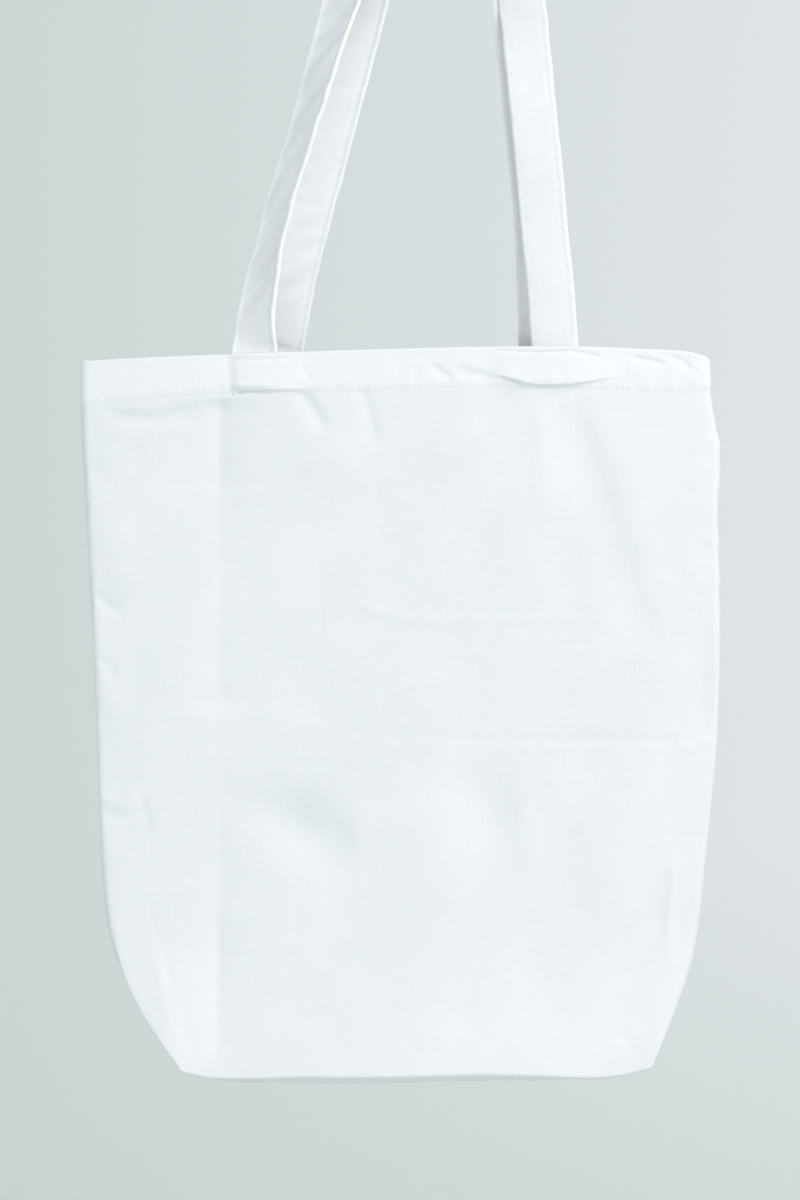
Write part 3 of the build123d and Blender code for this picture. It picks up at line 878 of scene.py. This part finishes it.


def canvas_material(name, light, dark, pitch, depth, through=0.0):
    """Plain-weave cotton: crossing threads, thicker slub threads both ways, and cloudy, uneven colour. pitch
    is a thread's width, depth is how far the weave stands out, and through is how much light scatters inside
    the cloth."""
    n = Nodes(name)
    coords = n.add("ShaderNodeTexCoord")
    uv, place = coords.outputs["UV"], coords.outputs["Object"]
    split = n.add("ShaderNodeSeparateXYZ")
    wander = n.add("ShaderNodeVectorMath", operation="MULTIPLY_ADD")
    drift = n.add("ShaderNodeTexNoise")
    drift.inputs["Scale"].default_value = 60
    n.put(uv, drift.inputs["Vector"])
    n.put(drift.outputs["Color"], wander.inputs[0])
    wander.inputs[1].default_value = (0.0011, 0.0011, 0)
    n.put(uv, wander.inputs[2])
    n.put(wander.outputs[0], split.inputs[0])
    warp = n.math("SINE", n.math("MULTIPLY", split.outputs["X"], math.pi / pitch))
    weft = n.math("SINE", n.math("MULTIPLY", split.outputs["Y"], math.pi / pitch))
    crossing = n.math("POWER", n.math("ABSOLUTE", n.math("MULTIPLY", warp, weft)), 0.6)
    slub_up = n.noise(n.stretched(uv, (1 / pitch, 28, 1)), 1.0, 1.0)
    slub_across = n.noise(n.stretched(uv, (28, 1 / pitch, 1)), 1.0, 1.0)
    slubs = n.math("ADD", slub_up, slub_across)
    fuzz = n.noise(place, 2600, 2.0)
    threads = n.math("ADD", n.math("MULTIPLY", crossing, 0.75), n.math("MULTIPLY", slubs, 0.7))
    threads = n.math("ADD", threads, n.math("MULTIPLY", fuzz, 0.25))
    cloud = n.noise(place, 14, 3.0, 0.55)
    share = n.math("ADD", n.math("MULTIPLY", cloud, 0.7), n.math("MULTIPLY", n.span(threads, 0.7, 1.6), 0.3))
    colour = n.blend_colours(n.span(share, 0.25, 0.85), dark, light)
    # Whiter where the hem's cloth lies triple, and a painted highlight along the front strap's turned edges
    plies_and_rim_highlight = n.add("ShaderNodeAttribute", attribute_name="plies_and_rim_highlight")
    colour = n.blend_colours(plies_and_rim_highlight.outputs["Fac"], colour, FULL_WHITE)
    n.put(colour, n.shader.inputs["Base Color"])
    n.put(n.span(threads, 0.6, 1.6, 0.95, 0.8), n.shader.inputs["Roughness"])
    soft = n.bump(n.noise(place, 120, 3.0, 0.6), 0.00045, 0.5)
    n.put(n.bump(threads, depth, 0.6, soft), n.shader.inputs["Normal"])
    n.shader.inputs["Subsurface Weight"].default_value = through
    n.shader.inputs["Subsurface Radius"].default_value = (1.0, 0.9, 0.75)
    n.shader.inputs["Subsurface Scale"].default_value = 0.003
    n.shader.inputs["Sheen Weight"].default_value = 0.12
    n.shader.inputs["Sheen Roughness"].default_value = 0.6
    n.shader.inputs["Specular IOR Level"].default_value = 0.25
    return n.material


def thread_material(name, light, dark):
    """Twisted sewing thread."""
    n = Nodes(name)
    place = n.add("ShaderNodeTexCoord").outputs["Object"]
    twist = n.add("ShaderNodeTexWave", wave_type="BANDS", bands_direction="DIAGONAL")
    twist.inputs["Scale"].default_value = 900
    twist.inputs["Distortion"].default_value = 1.5
    n.put(place, twist.inputs["Vector"])
    colour = n.blend_colours(n.noise(place, 300, 2.0), dark, light)
    n.put(colour, n.shader.inputs["Base Color"])
    n.put(n.span(twist.outputs["Fac"], 0, 1, 0.75, 0.55), n.shader.inputs["Roughness"])
    n.put(n.bump(twist.outputs["Fac"], 0.00006, 0.7), n.shader.inputs["Normal"])
    n.shader.inputs["Sheen Weight"].default_value = 0.1
    return n.material


PANEL_LIGHT, PANEL_DARK = (0.86, 0.87, 0.875, 1), (0.79, 0.803, 0.812, 1)
STRAP_LIGHT, STRAP_DARK = (0.855, 0.862, 0.867, 1), (0.785, 0.796, 0.804, 1)
HEM_LIGHT, HEM_DARK = (0.85, 0.86, 0.865, 1), (0.78, 0.792, 0.8, 1)
canvas = canvas_material("canvas_cloth", PANEL_LIGHT, PANEL_DARK, 0.55 * MM, 0.16 * MM)
webbing = canvas_material("strap_cloth", STRAP_LIGHT, STRAP_DARK, 0.5 * MM, 0.14 * MM, 0.4)
inside = canvas_material("hem_cloth", HEM_LIGHT, HEM_DARK, 0.55 * MM, 0.16 * MM)
thread = thread_material("sewing_thread", (0.9, 0.905, 0.91, 1), (0.82, 0.83, 0.84, 1))


def dress(piece, material, body="bag"):
    piece.data.materials.append(material)
    if body:
        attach(piece, body)
    return piece


# ---------------------------------------------------------------- pieces

walls, shapes = {}, {}
for side, face in (("front", -1), ("back", 1)):
    panel = thicken(panel_mesh(f"{side}_panel_cloth", face), CLOTH)
    dress(panel, canvas)
    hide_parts(f"{side}_panel")
    shapes[side], walls[side] = shaped_wall(face)
    band = dress(inner_band(f"{side}_hem_band", walls[side], face), inside)
    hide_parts(f"{side}_hem")

hem_rows = []
for side, face in (("front", -1), ("back", 1)):
    hem_rows.append(row_on_wall(walls[side], face, lambda x: hem_line(x) + HEM_ROW))
hem_thread = dress(stitch_mesh("hem_thread", hem_rows), thread)
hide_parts("hem_stitching")

for side, face in (("front", -1), ("back", 1)):
    strap = STRAPS[side]
    path = StrapPath(strap)
    handle = dress(strap_mesh(f"{side}_strap_cloth", path), webbing, None)
    edges = dress(stitch_mesh(f"{side}_strap_thread", rows_on_strap(path), 0.2 * MM), thread, None)
    for piece in (handle, edges):
        end = (0, face * MOUTH, TOP + 14 * MM)
        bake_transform(piece)
    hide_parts(f"{side}_handle", f"{side}_left_strap_end", f"{side}_right_strap_end")
    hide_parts(f"{side}_handle_stitching")
    for end, place in zip(("left", "right"), sewn_places(face)):
        reach = STRAP / 2 - 0.5 * MM
        row = row_on_wall(walls[side], face, lambda x: TOP - TOP_ROW, place - reach, place + reach)
        rows = dress(stitch_mesh(f"{side}_{end}_strap_end_thread", [row]), thread)
        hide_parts(f"{side}_{end}_strap_stitching")

for side, sign in (("left", -1), ("right", 1)):
    edge = shapes["front"][:, 0 if sign < 0 else -1]
    edge = edge[(edge[:, 2] > SIDE_SEAM[0]) & (edge[:, 2] < SIDE_SEAM[1])]
    up = unit(np.gradient(edge, axis=0))
    inward = np.stack([-sign * up[:, 2], 0 * up[:, 0], sign * up[:, 0]], axis=1)
    flat = np.tile([0, 1.0, 0], (len(edge), 1))
    outer = edge + inward * SEAM_INSET * MM
    seam = dress(allowance(f"{side}_side_seam_edges", outer, inward, flat, 101), inside)
    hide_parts(f"{side}_side_seam")
    columns = slice(0, CORNER + 1) if sign < 0 else slice(-1, -CORNER - 2, -1)
    corner = np.concatenate([shapes["front"][0, columns][::-1], shapes["back"][0, columns][1:]])
    corner = corner[np.abs(corner[:, 1]) < CORNER_SEAM]
    inward = np.tile(unit(np.array([-sign * 0.4, 0, 0.92])), (len(corner), 1))
    flat = np.tile([1.0, 0, 0], (len(corner), 1))
    outer = corner + inward * SEAM_INSET * MM
    seam = dress(allowance(f"{side}_corner_seam_edges", outer, inward, flat, 111), inside)
    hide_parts(f"{side}_corner_seam")

x = np.linspace(-121, 121, 130)  # the base's middle seam, between the two T-seams
middle = np.stack([x, 0 * x, smooth_through(BASE_SAG, x) + SEAM_INSET], axis=1) * MM
up = np.tile([0, 0, 1.0], (len(x), 1))
flat = np.tile([0, 1.0, 0], (len(x), 1))
seam = dress(allowance("bottom_seam_edges", middle, up, flat, 121), inside)
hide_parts("bottom_seam")


# ---------------------------------------------------------------- studio


def stage_plane(name, size, place, turn, low, high, glow):
    """A pale surface that glows a little, with painted light falloff: darker towards its -X side and towards
    its -Y edge.
    """
    bpy.ops.mesh.primitive_plane_add(size=size, location=place, rotation=turn)
    plane = bpy.context.object
    plane.name = name
    n = Nodes(name + "_glow_and_painted_falloff")
    coords = n.add("ShaderNodeTexCoord")
    split = n.add("ShaderNodeSeparateXYZ")
    n.put(coords.outputs["Object"], split.inputs[0])
    # Painted light falloff: lighter towards +X, darker again towards the -Y edge
    tone = n.blend_colours(n.span(split.outputs["X"], -1.0, 1.0), low, high)
    tone = n.blend_colours(n.span(split.outputs["Y"], -0.3, -1.3, 0.0, 0.8), tone, low)
    n.put(tone, n.shader.inputs["Base Color"])
    n.put(tone, n.shader.inputs["Emission Color"])
    n.shader.inputs["Emission Strength"].default_value = glow
    n.shader.inputs["Roughness"].default_value = 0.95
    n.shader.inputs["Specular IOR Level"].default_value = 0.0
    plane.data.materials.append(n.material)


# The two tones of the backdrop's and floor's painted light falloff, from shade to lit
stage_painted_shade_tone, stage_painted_light_tone = (0.575, 0.60, 0.585, 1), (0.69, 0.70, 0.69, 1)
stage_plane("backdrop", 24, (0, 5, 0), (math.pi / 2, 0, 0), stage_painted_shade_tone, stage_painted_light_tone, 0.375)
stage_plane("floor", 24, (0, 0, -1.3), (0, 0, 0), stage_painted_shade_tone, stage_painted_light_tone, 0.2)

world = bpy.data.worlds.new("studio")
bpy.context.scene.world = world
world.use_nodes = True
world.node_tree.nodes["Background"].inputs["Color"].default_value = (0.86, 0.925, 0.985, 1)
world.node_tree.nodes["Background"].inputs["Strength"].default_value = 0.76


def softbox(name, place, aim, size, power, colour):
    light = bpy.data.lights.new(name, "AREA")
    light.shape = "SQUARE"
    light.size = size
    light.energy = power
    light.color = colour
    lamp = bpy.data.objects.new(name, light)
    lamp.location = place
    lamp.rotation_euler = (Vector(aim) - Vector(place)).to_track_quat("-Z", "Y").to_euler()
    bpy.context.scene.collection.objects.link(lamp)


softbox("key", (1.35, -1.2, 1.35), (0, 0, 0.3), 1.6, 26.5, (1.0, 0.99, 0.985))
softbox("fill", (-1.6, -2.1, -0.4), (0, 0, 0.3), 1.9, 13, (0.98, 0.985, 1.0))
softbox("rear", (0.8, 2.6, 1.8), (0, 0, 0.3), 2.0, 24, (0.98, 0.99, 1.0))

CAMERA_PLACE = (-0.0012, -1.70, 0.2895)
CAMERA_ROLL = -1.73  # degrees
camera_data = bpy.data.cameras.new("camera")
camera_data.lens = 85
camera_data.sensor_width = 36
camera = bpy.data.objects.new("camera", camera_data)
camera.matrix_world = (
    Matrix.Translation(CAMERA_PLACE)
    @ Matrix.Rotation(math.radians(90), 4, "X")
    @ Matrix.Rotation(math.radians(CAMERA_ROLL), 4, "Z")
)
bpy.context.scene.collection.objects.link(camera)
bpy.context.scene.camera = camera
bpy.context.scene.view_settings.view_transform = "Standard"
